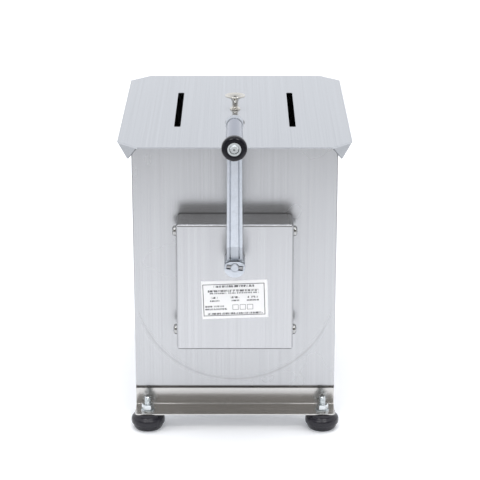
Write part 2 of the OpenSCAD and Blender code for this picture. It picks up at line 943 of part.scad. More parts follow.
module grip_nut() {
    color("gainsboro") place() front_view(crank_z + crank_r) translate([0, 0, arm_back])
        mirror([0, 0, 1]) hex_nut(nut_h, nut_af, grip_bolt_d / 2 + seat_fit);
}

module grip_sleeve() {
    color("whitesmoke") place() front_view(crank_z + crank_r) difference() {
        translate([0, 0, sleeve_back]) cylinder(d1 = sleeve_d0, d2 = sleeve_d1, h = sleeve_l);
        disc(sleeve_back - cut, ring_back + cut, grip_bolt_d / 2 + run_fit);
    }
}

module end_ring_outline() {
    outer_r = end_ring_d / 2;
    square([outer_r - end_ring_r, end_ring_l]);
    translate([0, end_ring_r]) square([outer_r, end_ring_l - 2 * end_ring_r]);
    for (z = [end_ring_r, end_ring_l - end_ring_r])
        translate([outer_r - end_ring_r, z]) circle(end_ring_r);
}

module grip_end_ring() {
    color("black") place() front_view(crank_z + crank_r) difference() {
        translate([0, 0, ring_back]) rotate_extrude() end_ring_outline();
        disc(ring_back - cut, ring_front, grip_bolt_d / 2 + run_fit);
        disc(ring_front - head_recess, ring_front + cut, grip_head_d / 2 + run_gap);
    }
}

// Lid
module at_lid(z) {
    translate([0, body_l / 2, z]) children();
}

module lid_outline() {
    x = lid_w / 2;
    y = lid_l / 2;
    polygon([
        [x - corner_leg, -y], [x, corner_leg - y], [x, y - corner_leg], [x - corner_leg, y],
        [corner_leg - x, y], [-x, y - corner_leg], [-x, corner_leg - y], [corner_leg - x, -y]
    ]);
}

module lid_tab() {
    translate([(lid_w - corner_leg) / 2, (lid_l - corner_leg) / 2, lid_t])
        rotate([90, 0, -45]) linear_extrude(lid_t) polygon([
            [-fold_l / 2, 0], [fold_l / 2, 0], [tip_w / 2, -tab_h], [-tip_w / 2, -tab_h]
        ]);
}

module lid_sheet() {
    color("silver") place() at_lid(lid_z) difference() {
        union() {
            linear_extrude(lid_t) lid_outline();
            for (x = [0, 1], y = [0, 1]) mirror([x, 0, 0]) mirror([0, y, 0]) lid_tab();
        }
        for (side = [-1, 1])
            translate([side * slot_x, 0, -cut]) linear_extrude(lid_t + 2 * cut)
                rounded_rectangle(slot_w, slot_l, slot_r);
        disc(-cut, lid_t + cut, (knob_screw_d + hole_fit) / 2);
    }
}

module knob_outline() {
    rim_x = knob_d / 2 - knob_rim_r;
    neck_r = knob_neck_d / 2;
    polygon([
        [0, 0], [knob_foot_d / 2, 0], [knob_foot_d / 2, knob_foot_h],
        [neck_r, knob_foot_h + knob_rim_r], [neck_r, knob_flare_z],
        [rim_x, knob_rim_z - knob_rim_r], [rim_x, knob_rim_z + knob_rim_r],
        [0, knob_rim_z + knob_rim_r - knob_dish]
    ]);
    translate([rim_x, knob_rim_z]) circle(knob_rim_r);
}

module lid_knob() {
    color("gainsboro") place() at_lid(lid_top) difference() {
        rotate_extrude() knob_outline();
        disc(-cut, knob_screw_in + seat_fit, knob_screw_d / 2 + seat_fit);
    }
}

module lid_knob_screw() {
    color("gainsboro") place() at_lid(lid_z) {
        disc(-knob_screw_head_h, 0, knob_screw_head_d / 2);
        disc(0, lid_t + knob_screw_in, knob_screw_d / 2);
    }
}

front_plate();
rear_plate();
trough();
front_foot_rail();
rear_foot_rail();
foot_front_left();
foot_front_right();
foot_rear_left();
foot_rear_right();
foot_studs();
foot_washers();
foot_nuts();
gear_cover();
cover_lugs();
cover_screws();
cover_washers();
cover_bush();
label_plate();
crank_boss();
crank_bush();
front_boss();
front_bush();
front_seal();
rear_boss();
rear_bush();
rear_seal();
paddle_shaft();
paddle_gear();
gear_key();
gear_clip();
paddle_arms();
paddle_blades();
crank_shaft();
drive_pinion();
pinion_key();
pinion_clip();
crank_arm();
crank_pin();
grip_bolt();
grip_nut();
grip_sleeve();
grip_end_ring();
lid_sheet();
lid_knob();
lid_knob_screw();
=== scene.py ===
# %% [markdown]
# # A hand-cranked meat mixer
#
# The mixer is a steel tank on two angle rails with rubber feet. A crank at the front turns a pinion, the
# pinion turns a gear, and the gear turns the paddles inside. A loose lid with two slots lies on the rim.
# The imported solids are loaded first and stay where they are. This script gives them their finishes and
# adds the small forms that plain solids leave out: threads, cross recesses, weld beads and soft edges.

# %% Load the fixed frame
import json
import math

import bmesh
import bpy
from mathutils import Matrix, Vector

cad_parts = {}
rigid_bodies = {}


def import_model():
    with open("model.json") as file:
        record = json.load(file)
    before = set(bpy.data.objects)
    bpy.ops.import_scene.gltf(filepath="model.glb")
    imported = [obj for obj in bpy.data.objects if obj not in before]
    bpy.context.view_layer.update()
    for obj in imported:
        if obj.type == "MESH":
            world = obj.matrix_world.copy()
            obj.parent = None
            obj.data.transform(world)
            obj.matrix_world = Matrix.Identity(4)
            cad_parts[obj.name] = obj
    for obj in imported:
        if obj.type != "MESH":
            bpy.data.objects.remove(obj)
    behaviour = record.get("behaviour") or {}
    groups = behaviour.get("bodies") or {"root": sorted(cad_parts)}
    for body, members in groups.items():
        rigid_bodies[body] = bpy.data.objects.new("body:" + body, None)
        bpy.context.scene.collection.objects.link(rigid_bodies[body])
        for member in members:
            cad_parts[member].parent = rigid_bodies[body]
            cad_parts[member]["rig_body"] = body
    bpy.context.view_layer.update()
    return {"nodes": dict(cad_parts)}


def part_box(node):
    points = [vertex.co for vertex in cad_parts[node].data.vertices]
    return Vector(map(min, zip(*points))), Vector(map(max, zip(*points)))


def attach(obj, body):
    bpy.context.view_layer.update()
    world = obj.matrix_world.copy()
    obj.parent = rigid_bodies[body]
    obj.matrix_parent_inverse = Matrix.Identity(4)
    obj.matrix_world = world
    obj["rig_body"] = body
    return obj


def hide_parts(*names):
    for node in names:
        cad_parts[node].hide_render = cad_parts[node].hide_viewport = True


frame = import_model()
nodes = frame["nodes"]
MM = 0.001

# %% [markdown]
# ## Measuring the solids
#
# Every piece that is added here takes its place from the solids. A node can hold several solids, such as
# four screws, so the first helper takes a node's mesh apart into its loose parts and gives the box of
# each. Counting on the mesh means that no position has to be typed in twice.


# %% Boxes of the separate solids in a node
def solids(node):
    mesh = nodes[node].data
    parts = list(range(len(mesh.vertices)))
    micron_digits = 6

    def root(i):
        while parts[i] != i:
            parts[i] = parts[parts[i]]
            i = parts[i]
        return i

    seen = {}
    for vertex in mesh.vertices:
        key = tuple(round(c, micron_digits) for c in vertex.co)
        parts[root(vertex.index)] = root(seen.setdefault(key, vertex.index))
    for edge in mesh.edges:
        parts[root(edge.vertices[0])] = root(edge.vertices[1])
    groups = {}
    for vertex in mesh.vertices:
        groups.setdefault(root(vertex.index), []).append(vertex.co)
    boxes = []
    for points in groups.values():
        low = Vector(min(p[i] for p in points) for i in range(3))
        high = Vector(max(p[i] for p in points) for i in range(3))
        boxes.append((low, high))
    return sorted(boxes, key=lambda box: tuple(box[0]))


def middle(box):
    low, high = box
    return (low + high) / 2


paddle_axis = middle(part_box("paddle_shaft"))
crank_axis = middle(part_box("crank_shaft"))
print("feet:", len(solids("foot_studs")), "screws:", len(solids("cover_screws")))

# %% [markdown]
# ## The camera
#
# The photograph was taken from in front and a little above with a long lens, so upright edges stay almost
# parallel. A constraint could aim the camera at the machine, but a fixed place and a fixed pitch are
# easier to read and to adjust.


# %% Camera
def linked(name, data):
    made = bpy.data.objects.new(name, data)
    bpy.context.scene.collection.objects.link(made)
    return made


def photo_camera(place, pitch, lens, sensor):
    data = bpy.data.cameras.new("photo_camera")
    data.lens = lens
    data.sensor_width = sensor
    camera = linked("photo_camera", data)
    camera.location = place
    camera.rotation_euler = (pitch, 0, 0)
    bpy.context.scene.camera = camera
    return camera


bpy.context.scene.view_settings.view_transform = "Standard"
camera = photo_camera((0.00605, -2.0639, 0.9309), math.radians(70.58), lens=133.6, sensor=36)
print("camera at", tuple(round(c, 3) for c in camera.location))

# %% [markdown]
# ## Sums on sockets
#
# A finish is a small tree of nodes, and most of it is arithmetic: a mask times a strength, one minus a
# mask. Wiring Math nodes by hand hides those sums, so a socket is wrapped in a class whose operators add
# the Math nodes. Colours and vectors go through Mix and Vector Math instead, because a Math node would
# turn them grey.


# %% A socket that can be added and multiplied
class Value:
    def __init__(self, nodes, socket):
        self.nodes = nodes
        self.socket = socket

    def out(self, name):
        return Value(self.nodes, self.socket.node.outputs[name])

    def __add__(self, other):
        return self.nodes.math("ADD", self, other)

    def __sub__(self, other):
        return self.nodes.math("SUBTRACT", self, other)

    def __rsub__(self, other):
        return self.nodes.math("SUBTRACT", other, self)

    def __mul__(self, other):
        return self.nodes.math("MULTIPLY", self, other)

    def __abs__(self):
        return self.nodes.math("ABSOLUTE", self)

    __radd__ = __add__
    __rmul__ = __mul__


# %% A node tree that makes any node
class Nodes:
    def __init__(self, tree):
        self.tree = tree

    def feed(self, socket, value):
        if isinstance(value, Value):
            self.tree.links.new(value.socket, socket)
        else:
            socket.default_value = value

    def node(self, kind, settings=None, inputs=None, output=0):
        made = self.tree.nodes.new("ShaderNode" + kind)
        for name, value in (settings or {}).items():
            setattr(made, name, value)
        for name, value in (inputs or {}).items():
            self.feed(made.inputs[name], value)
        return Value(self, made.outputs[output])

    def math(self, operation, *terms):
        return self.node("Math", {"operation": operation}, dict(enumerate(terms)))

    def most(self, first, *others):
        for other in others:
            first = self.math("MAXIMUM", first, other)
        return first

    def vector(self, operation, a, b):
        return self.node("VectorMath", {"operation": operation}, {0: a, 1: b})

    def length(self, vector):
        return self.node("VectorMath", {"operation": "LENGTH"}, {0: vector}, "Value")

    def split(self, vector):
        return self.node("SeparateXYZ", {}, {"Vector": vector})

    def mix(self, factor, a, b):
        settings = {"data_type": "RGBA", "clamp_factor": True}
        return self.node("Mix", settings, {0: factor, 6: a, 7: b}, 2)

    def step(self, value, low, high):
        ends = {"Value": value, "From Min": low, "From Max": high}
        return self.node("MapRange", {"interpolation_type": "SMOOTHSTEP"}, ends)

    def noise(self, place, scale, detail=2.0):
        return self.node("TexNoise", {}, {"Vector": place, "Scale": scale, "Detail": detail})


# %% [markdown]
# ## The studio
#
# Bare metal has no colour of its own to speak of: it shows the room, so the room comes before the metal.
# Its walls are bright, and a stretch behind the camera is dim. That stretch is what turns the top of the
# gear cover and the flange of the foot rail dark. A picture of a studio could be wrapped round the scene
# instead, but masks in the direction of view are enough, and each can be moved by itself.


# %% The room: bright all round, dim behind the camera
def studio_room(bright_wall, dim_wall, seen_wall):
    world = bpy.data.worlds.new("studio_room")
    world.use_nodes = True
    bpy.context.scene.world = world
    room = Nodes(world.node_tree)
    way = room.split(room.node("TexCoord", {}, {}, "Generated"))
    behind = room.step(way.out("Y") * -1, 0.1, 0.5)
    above_table = room.step(way.out("Z"), 0.0, 0.15)
    below_ceiling = 1 - room.step(way.out("Z"), 0.62, 0.85)
    walls = room.mix(behind * above_table * below_ceiling, bright_wall, dim_wall)
    seen = room.node("LightPath", {}, {}, "Is Camera Ray")
    background = world.node_tree.nodes["Background"]
    room.feed(background.inputs["Color"], room.mix(seen, walls, seen_wall))
    return world


room = studio_room((1.05, 1.065, 1.1, 1), (0.24, 0.227, 0.21, 1), (1, 1, 1, 1))
print("room:", room.name)

# %% [markdown]
# ### The lights
#
# Three soft boxes light the machine, one from above and two from in front. The one above is kept out of
# mirror images, because the flat lid would show it as a white patch to anyone who looks down on it. A
# narrow strip across the machine is there for the mirror images: it draws the bright line along the bends
# of the sheet.


# %% Soft boxes
def softbox(name, place, aim, width, height, power):
    data = bpy.data.lights.new(name, "AREA")
    data.shape = "RECTANGLE"
    data.size = width
    data.size_y = height
    data.energy = power
    light = linked(name, data)
    light.location = place
    light.rotation_euler = (Vector(aim) - Vector(place)).to_track_quat("-Z", "Y").to_euler()
    return light


overhead = softbox("overhead", (0, 0.3, 2.4), (0, 0.05, 0.2), width=1.8, height=1.4, power=26)
overhead.visible_glossy = False
lights = [overhead]
for name, x in (("front_left", -0.8), ("front_right", 0.8)):
    lights.append(softbox(name, (x, -1.7, 2.3), (0, -0.1, 0.2), width=0.7, height=0.8, power=11.5))
lights.append(softbox("top_strip", (0, -0.5, 2.3), (0, -0.15, 0.25), width=2.0, height=0.12, power=4))
print("lights:", [(light.name, light.data.energy) for light in lights])

# %% [markdown]
# ## The finishes
#
# Each finish is one material. All of them read the place on the object, in metres, so a streak of brushing
# or a grain of casting keeps its real size on every piece. `Finish` holds the Principled shader: numbers
# that are the same all over are set on its sockets, and only colours, roughness and the bumps in the
# normal vary.


# %% A material with its shader
class Finish(Nodes):
    def __init__(self, name, **fixed):
        self.material = bpy.data.materials.new(name)
        self.material.use_nodes = True
        super().__init__(self.material.node_tree)
        self.shader = self.tree.nodes["Principled BSDF"]
        for socket, value in fixed.items():
            self.shader.inputs[socket.replace("_", " ")].default_value = value
        self.place = self.node("TexCoord", {}, {}, "Object")

    def surface(self, colour, roughness, height=None, depth=0.0, strength=0.0):
        self.feed(self.shader.inputs["Base Color"], colour)
        self.feed(self.shader.inputs["Roughness"], roughness)
        if height is not None:
            ends = {"Height": height, "Distance": depth, "Strength": strength}
            self.feed(self.shader.inputs["Normal"], self.node("Bump", {}, ends, "Normal"))
        return self.material

    def streaks(self, along, width, length, detail=2.0):
        grain = [1 / width] * 3
        grain[along] = 1 / length
        return self.noise(self.vector("MULTIPLY", self.place, grain), 1.0, detail)


def shade(colour, factor=1):
    return tuple(c * factor for c in colour) + (1.0,)


X, Y, Z = range(3)

# %% [markdown]
# ### The white table
#
# The machine stands on white paper that runs on past the picture, so one large square does for it. The
# paper glows a little, which makes it as white as the wall and leaves the shadow under the tank soft. Out
# of the camera's sight, beside and in front of the machine, it is dimmer, because the metal mirrors that
# part too.


# %% The white table
def table_top(side):
    mesh = bpy.data.meshes.new("table_top")
    half = side / 2
    corners = [(-half, -half, 0), (half, -half, 0), (half, half, 0), (-half, half, 0)]
    mesh.from_pydata(corners, [], [(0, 1, 2, 3)])
    table = linked("table_top", mesh)
    return table


def table_paper(name):
    paper = Finish(name, Emission_Strength=0.17)
    place = paper.split(paper.place)
    aside = paper.step(abs(place.out("X")), 0.45, 0.9) * (1 - paper.step(place.out("Y"), 0.2, 0.6))
    ahead = paper.step(place.out("Y") * -1, 0.85, 1.45)
    dim = paper.most(aside, ahead)
    white = paper.mix(paper.noise(paper.place, 40.0, 3.0), (0.88, 0.88, 0.89, 1), (0.92, 0.92, 0.93, 1))
    glow = paper.mix(dim, (0.87, 0.93, 1, 1), (0.1, 0.1, 0.1, 1))
    paper.feed(paper.shader.inputs["Emission Color"], glow)
    return paper.surface(paper.mix(dim, white, (0.45, 0.45, 0.45, 1)), 0.7)


table = table_top(16)
table.data.materials.append(table_paper("table_paper"))
print("table:", tuple(table.dimensions))

# %% [markdown]
# ### Brushed stainless sheet
#
# The sheets are rubbed with an abrasive belt in one direction, which leaves fine scratches of uneven
# depth. One way is an anisotropic shader, but its direction would need a tangent on every face. A noise
# that is squeezed across the scratches and stretched along them gives the same lines on any face, so two
# such noises are used: hair lines about a millimetre wide, and broader bands that the eye sees from a step
# away.

# %% Brushed sheet
scratch_depth, scratch_strength = 0.01 * MM, 0.006


def brushed_sheet(name, colour, along, roughness, contrast):
    steel = Finish(name, Metallic=0.88)
    hair = steel.streaks(along, width=1.1 * MM, length=300 * MM)
    bands = steel.streaks(along, width=2.8 * MM, length=1200 * MM, detail=1.0)
    cloud = steel.noise(steel.place, 9.0, 3.0)
    tone = hair * 0.6 + bands * 0.4
    brushed = steel.mix(tone, shade(colour, 1 - contrast), shade(colour, 1 + contrast))
    gloss = roughness + (cloud - 0.5) * 0.04
    return steel, brushed, gloss, hair


def plain_sheet(name, colour, along, roughness, contrast):
    steel, brushed, gloss, hair = brushed_sheet(name, colour, along, roughness, contrast)
    return steel.surface(brushed, gloss, hair, scratch_depth, scratch_strength)


tank_steel = plain_sheet("tank_steel", (0.46, 0.465, 0.475), Y, roughness=0.28, contrast=0.15)
rail_steel = plain_sheet("rail_steel", (0.6, 0.588, 0.573), X, roughness=0.2, contrast=0.1)
print("sheet finishes:", [m.name for m in (tank_steel, rail_steel)])

# %% [markdown]
# ### The lid and its folded corners
#
# The corners are folded down after brushing. Their colour is painted paler than the flat sheet, a painted
# light for the light they catch, and a painted highlight runs along each bend. A painted shadow runs as a
# dark line along each corner's inner edge, where the tab sits close to the plate. The marks are the same at
# all four corners, so they are drawn once, in the distances from the lid's middle.

# %% Lid sheet
lid_low, lid_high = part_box("lid_sheet")
# Tones of the painted light on the folded corners, the painted highlight on each fold and the painted shadow
# line.
painted_fold_light, painted_bend_highlight, edge_shadow_tone = 1.43, 1.95, 0.3


def lid_finish(name, colour):
    steel, brushed, gloss, hair = brushed_sheet(name, colour, Y, roughness=0.08, contrast=0.15)
    corners = [vertex.co for vertex in nodes["lid_sheet"].data.vertices]
    tip = min(abs(p.x) for p in corners if p.z < lid_low.z + MM)
    start = max(abs(p.x) for p in corners if p.y < lid_low.y + 0.2 * MM)
    drop = lid_high.z - lid_low.z
    place = steel.split(steel.place)
    below = lid_high.z - place.out("Z")
    aside = abs(place.out("X")) - start
    folded = steel.step(below, 1.4 * MM, 2.4 * MM)
    from_edge = (aside * drop - below * (tip - start)) * (1 / math.hypot(drop, tip - start))
    # Painted shadow: a dark line along each tab's inner edge.
    painted_edge_shadow = folded * (1 - steel.step(from_edge, 0.5 * MM, 1.3 * MM))
    # Painted highlight: a bright line along each fold.
    bend = steel.step(below, 0.1 * MM, 0.4 * MM) * (1 - folded) * steel.step(aside, 0.0, MM)
    # Painted light: the folded corners are painted paler than the top.
    lit_folds = steel.mix(folded, brushed, shade(colour, painted_fold_light))
    highlit_bend = steel.mix(bend, lit_folds, shade(colour, painted_bend_highlight))
    shadowed_edge = steel.mix(painted_edge_shadow * 0.8, highlit_bend, shade(colour, edge_shadow_tone))
    return steel.surface(shadowed_edge, gloss + folded * 0.15, hair, scratch_depth, scratch_strength)


lid_steel = lid_finish("lid_steel", (0.458, 0.475, 0.503))
print("lid finish:", lid_steel.name)

# %% [markdown]
# ### The gear cover
#
# The cover is folded from one sheet and brushed on its face. Painted shade darkens the bends at the sides,
# and more underneath, and a painted shadow darkens the corner between cover and end plate. Above the crank's
# hub, beside the arm, a painted shadow and reflection of the arm darken the face in soft streaks. The place
# on the cover and the way its skin faces tell these apart, so none of them is drawn on by hand.

# %% Cover sheet
cover_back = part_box("gear_cover")[1].y


def cover_finish(name, colour):
    steel, brushed, gloss, hair = brushed_sheet(name, colour, Z, roughness=0.26, contrast=0.15)
    facing = steel.split(steel.node("TexCoord", {}, {}, "Normal"))
    place = steel.split(steel.place)
    # Painted shade: faces turned sideways and downwards are darker, and a painted shadow lies in the corner
    # by the end plate.
    side = steel.step(abs(facing.out("X")), 0.2, 0.6) * 0.3
    painted_underside_shade = steel.step(facing.out("Z") * -1, 0.2, 0.6) * 0.75
    corner = steel.step(place.out("Y"), cover_back - 3.8 * MM, cover_back - 1.8 * MM) * 0.8
    up = place.out("Z") - crank_axis.z
    beside = 1 - steel.step(abs(place.out("X")), 9 * MM, 21 * MM)
    above = steel.step(up, 0.0, 12 * MM) * (1 - steel.step(up, 20 * MM, 42 * MM))
    # Painted shadow and reflection of the arm, in soft streaks beside and above the hub.
    painted_arm_shadow = beside * above * steel.streaks(Z, 4 * MM, 30 * MM) * 0.62
    painted_shade_colour = steel.mix(steel.most(side, painted_underside_shade, corner, painted_arm_shadow), brushed, shade(colour, 0.12))
    return steel.surface(painted_shade_colour, gloss, hair, scratch_depth, scratch_strength)


cover_steel = cover_finish("cover_steel", (0.5, 0.505, 0.52))
print("cover finish:", cover_steel.name)

# %% [markdown]
# ### The front plate and its weld mark
#
# The round-bottomed trough is welded on behind the front plate. The heat has left a faint grey arc on the
# face, a little wider than a pencil line. It is a band in the distance from the paddle shaft's axis, which
# runs through the arc's centre, and it fades out towards the sides. Along the bottom the sheet is bent
# back, and this bend is painted dark: a painted shade for the shadow under the plate's edge.

# %% Plate with a weld mark
plate_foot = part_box("front_plate")[0].z
arc_radius = 119 * MM
weld_grey = (0.25, 0.245, 0.24, 1)
# Painted shade for the dark bend along the plate's foot.
painted_bend_shade = (0.06, 0.056, 0.05, 1)


def plate_finish(name, colour):
    steel, brushed, gloss, hair = brushed_sheet(name, colour, Z, roughness=0.27, contrast=0.17)
    place = steel.split(steel.place)
    flat = steel.node("CombineXYZ", {}, {"X": place.out("X"), "Z": place.out("Z") - paddle_axis.z})
    wander = (steel.noise(steel.place, 60.0) - 0.5) * (1.2 * MM)
    off = abs(steel.length(flat) - arc_radius + wander)
    line = 1 - steel.step(off, 0.2 * MM, 1.3 * MM)
    halo = 1 - steel.step(off, 0.8 * MM, 4.0 * MM)
    low = 1 - steel.step(place.out("Z"), paddle_axis.z - 75 * MM, paddle_axis.z - 20 * MM)
    patchy = steel.noise(steel.place, 45.0, 3.0) * 0.7 + 0.45
    mark = (line * 0.8 + halo * 0.2) * low * patchy
    heated = steel.mix(mark * 0.33, brushed, weld_grey)
    # Painted shade: the bend along the foot is painted dark.
    bend = 1 - steel.step(place.out("Z"), plate_foot + 3.4 * MM, plate_foot + 6.2 * MM)
    shaded_bend = steel.mix(bend * 0.9, heated, painted_bend_shade)
    return steel.surface(shaded_bend, gloss + mark * 0.08, hair - mark * 0.6, scratch_depth, scratch_strength)


plate_steel = plate_finish("plate_steel", (0.486, 0.492, 0.506))
print("weld mark at", round(arc_radius / MM), "mm from the paddle shaft")

# %% [markdown]
# ### Turned, plated and cast metal
#
# Shafts and paddles are bright turned steel. The feet's studs, nuts and washers are zinc plated, which is
# bluish and a little cloudy, and the cover's screws are darker polished steel. The crank arm is a plated
# casting: its skin is grainy, so its bumps are a fine round noise. The knob is warm polished nickel. One
# function makes them all, and a painted shade can be laid over it: painted shade on the slope above the
# arm's hub, painted shade in the dimple in the middle of the grip bolt, and a painted reflection of the
# dim room in the dish of the knob.


# %% Painted shade for the metals
def off_axis(metal, centre, axis):
    across = [1, 1, 1]
    across[axis] = 0
    away = metal.vector("SUBTRACT", metal.place, centre)
    return metal.length(metal.vector("MULTIPLY", away, across))


# Painted shade on the arm's slope above the hub, strongest in the corner by the hub.
def painted_slope_shade(metal):
    up = metal.split(metal.place).out("Z") - crank_axis.z
    bend = metal.step(up, 7.2 * MM, 7.8 * MM) * (1 - metal.step(up, 26.2 * MM, 27.4 * MM))
    corner = 1 - metal.step(up, 7.8 * MM, 9.4 * MM)
    thinner = metal.step(up, 9 * MM, 26 * MM)
    return bend * (0.46 + corner * 0.16 - thinner * 0.12)


# Painted shade in the dimple in the middle of the grip bolt's end.
def painted_dimple_shade(metal):
    return 1 - metal.step(off_axis(metal, middle(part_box("grip_bolt")), Y), 0.6 * MM, 1.3 * MM)


# Painted reflection of the dim room in the middle of the knob's dish.
def painted_dish_reflection(metal):
    low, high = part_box("lid_knob")
    inside = 1 - metal.step(off_axis(metal, middle((low, high)), Z), 3 * MM, 10 * MM)
    depth = high.z - metal.split(metal.place).out("Z")
    return inside * (1 - metal.step(depth, 2 * MM, 4 * MM)) * 0.55


print("painted_shade_masks:", [painted_shade_mask.__name__ for painted_shade_mask in (painted_slope_shade, painted_dimple_shade, painted_dish_reflection)])


# %% Metals that aren't sheet, with grain and depth in millimetres
def fine_metal(name, colour, roughness, grain, depth, mottle, painted_shade_mask=None):
    metal = Finish(name, Metallic=1.0)
    cloud = metal.noise(metal.place, 120.0, 3.0)
    speck = metal.noise(metal.place, 1 / (grain * MM))
    tone = cloud * 0.6 + speck * 0.4
    colours = metal.mix(tone, shade(colour, 1 - mottle), shade(colour, 1 + mottle))
    # Where a painted shade mask is given, it darkens the colour.
    if painted_shade_mask:
        colours = metal.mix(painted_shade_mask(metal), colours, shade(colour, 0.35))
    return metal.surface(colours, roughness + (cloud - 0.5) * 0.14, speck, depth * MM, 0.4)


zinc = fine_metal("zinc_plating", (0.68, 0.715, 0.73), 0.28, grain=0.5, depth=0.03, mottle=0.12)
casting = fine_metal("plated_casting", (0.5, 0.53, 0.575), 0.34, grain=1.6, depth=0.2, mottle=0.28,
                     painted_shade_mask=painted_slope_shade)
bolt_zinc = fine_metal("bolt_zinc", (0.72, 0.76, 0.775), 0.18, grain=0.5, depth=0.02, mottle=0.1,
                       painted_shade_mask=painted_dimple_shade)
sleeve_metal = fine_metal("sleeve_metal", (0.25, 0.272, 0.335), 0.11, grain=0.6, depth=0.01, mottle=0.05)
screw_steel = fine_metal("screw_steel", (0.42, 0.42, 0.415), 0.1, grain=0.5, depth=0.01, mottle=0.06)
nickel = fine_metal("polished_nickel", (0.66, 0.638, 0.59), 0.28, grain=0.8, depth=0.01, mottle=0.06,
                    painted_shade_mask=painted_dish_reflection)
bright_steel = fine_metal("turned_steel", (0.48, 0.485, 0.49), 0.25, grain=0.4, depth=0.02, mottle=0.08)
gear_steel = fine_metal("gear_steel", (0.4, 0.4, 0.41), 0.38, grain=0.5, depth=0.03, mottle=0.15)
weld_metal = fine_metal("weld_metal", (0.44, 0.42, 0.4), 0.4, grain=0.7, depth=0.05, mottle=0.2)
metals = (zinc, bolt_zinc, casting, sleeve_metal, screw_steel, nickel, bright_steel, gear_steel, weld_metal)
print("metals:", [m.name for m in metals])

# %% [markdown]
# ### Rubber, plastic and nylon
#
# The feet are satin black rubber with a faint moulded grain and grey dust in it. The ring at the grip's
# end is glossy black plastic. The bushes are natural nylon, and the seals are dull rubber. They differ
# only in numbers, so one function makes all four: a mix of two tones, with the grain in the bumps.


# %% Black and pale plastics, with grain and depth in millimetres
def moulded(name, colour, pale, roughness, grain, depth, **fixed):
    plastic = Finish(name, **fixed)
    cloud = plastic.noise(plastic.place, 70.0, 4.0)
    speck = plastic.noise(plastic.place, 1 / (grain * MM))
    dusty = plastic.mix(cloud * speck * 1.6, shade(colour), shade(pale))
    return plastic.surface(dusty, roughness + (cloud - 0.5) * 0.12, speck, depth * MM, 0.4)


rubber = moulded("foot_rubber", (0.011, 0.01, 0.015), (0.025, 0.024, 0.032), 0.24, grain=0.8, depth=0.04,
                 Specular_IOR_Level=0.4)
seal_rubber = moulded("seal_rubber", (0.05, 0.05, 0.05), (0.09, 0.09, 0.09), 0.6, grain=0.7, depth=0.05)
black_plastic = moulded("black_plastic", (0.006, 0.006, 0.009), (0.014, 0.014, 0.02), 0.07, grain=1.5,
                        depth=0.004, Specular_IOR_Level=0.22)
nylon = moulded("nylon", (0.7, 0.67, 0.58), (0.8, 0.78, 0.7), 0.45, grain=0.9, depth=0.03)
print("plastics:", [m.name for m in (rubber, seal_rubber, black_plastic, nylon)])

# %% [markdown]
# ### The label
#
# The label is a white film, stuck on a little askew. It carries a printed frame, rows of dashes that stand
# in for print, and no words. The place on the film is turned level and measured from its centre. Each rule
# is a thin band in it, and a stretched noise breaks the rows into dashes, so the print stays sharp at any
# distance.

# %% What is printed, in millimetres from the label's centre
label_frame = (-37, 35, -20, 19.5)
frame_pen, box_pen = 0.8, 0.6
title_rows = [(-24, 23, 15.2, 17.8), (-31, 28, 9.6, 12.2), (-29, 28, 7.2, 8.8)]
column_heads = [(-28, -20, 1.4, 3.8), (-5, 6, 1.4, 3.8), (15, 27, 1.4, 3.8)]
column_rows = [(-29, -18, -2.2, -0.4), (-4, 5, -2.2, -0.4), (14, 28, -2.2, -0.4)]
closing_rows = [(-35, -13, -9.2, -7.2), (-35, -9, -12.6, -10.6), (-32, 32, -18.6, -16.2)]
print_rows = title_rows + column_heads + column_rows + closing_rows
small_boxes = [(left, left + 7, -13, -6.5) for left in (-3, 5.5, 14)]
print("rows of dashes:", len(print_rows), "boxes:", len(small_boxes))


# %% Label film with rows of dashes
def label_film(name, tilt):
    film = Finish(name)
    centre = middle(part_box("label_plate"))
    turned = film.node("VectorRotate", {"rotation_type": "Y_AXIS"},
                       {"Vector": film.place, "Center": centre, "Angle": tilt})
    local = film.vector("SUBTRACT", turned, centre)
    place = film.split(local)
    soft = 0.08 * MM

    def inside(value, start, end):
        return film.step(value, start - soft, start + soft) * (1 - film.step(value, end - soft, end + soft))

    def field(left, right, bottom, top):
        return inside(place.out("X"), left * MM, right * MM) * inside(place.out("Z"), bottom * MM, top * MM)

    def outlined(area, pen):
        left, right, bottom, top = area
        return field(*area) - field(left + pen, right - pen, bottom + pen, top - pen)

    dashes = film.step(film.noise(film.vector("MULTIPLY", local, (1150, 0, 160)), 1.0, 1.0), 0.42, 0.52)
    rows = [field(*row) * dashes * 0.9 for row in print_rows]
    boxes = [outlined(area, box_pen) * 0.75 for area in small_boxes]
    ink = film.most(outlined(label_frame, frame_pen), *rows, *boxes)
    cloud = film.noise(film.place, 60.0, 3.0)
    paper = film.mix(cloud, (0.92, 0.92, 0.93, 1), (0.97, 0.97, 0.97, 1))
    printed = film.mix(ink, paper, (0.03, 0.03, 0.035, 1))
    return film.surface(printed, 0.38 + cloud * 0.1, cloud, 0.03 * MM, 0.2)


label = label_film("label_film", math.radians(2))
print("label finish:", label.name)

# %% [markdown]
# ## Finishes for the solids
#
# A finish goes into the material slots of a solid, and its shape stays. Some of these solids get a finer
# copy further down, and then the copy is what shows.


# %% Give each solid its finish
def finish(material, *names):
    for name in names:
        for place in nodes[name].material_slots:
            place.material = material
    print(material.name, "on", len(names), "nodes")


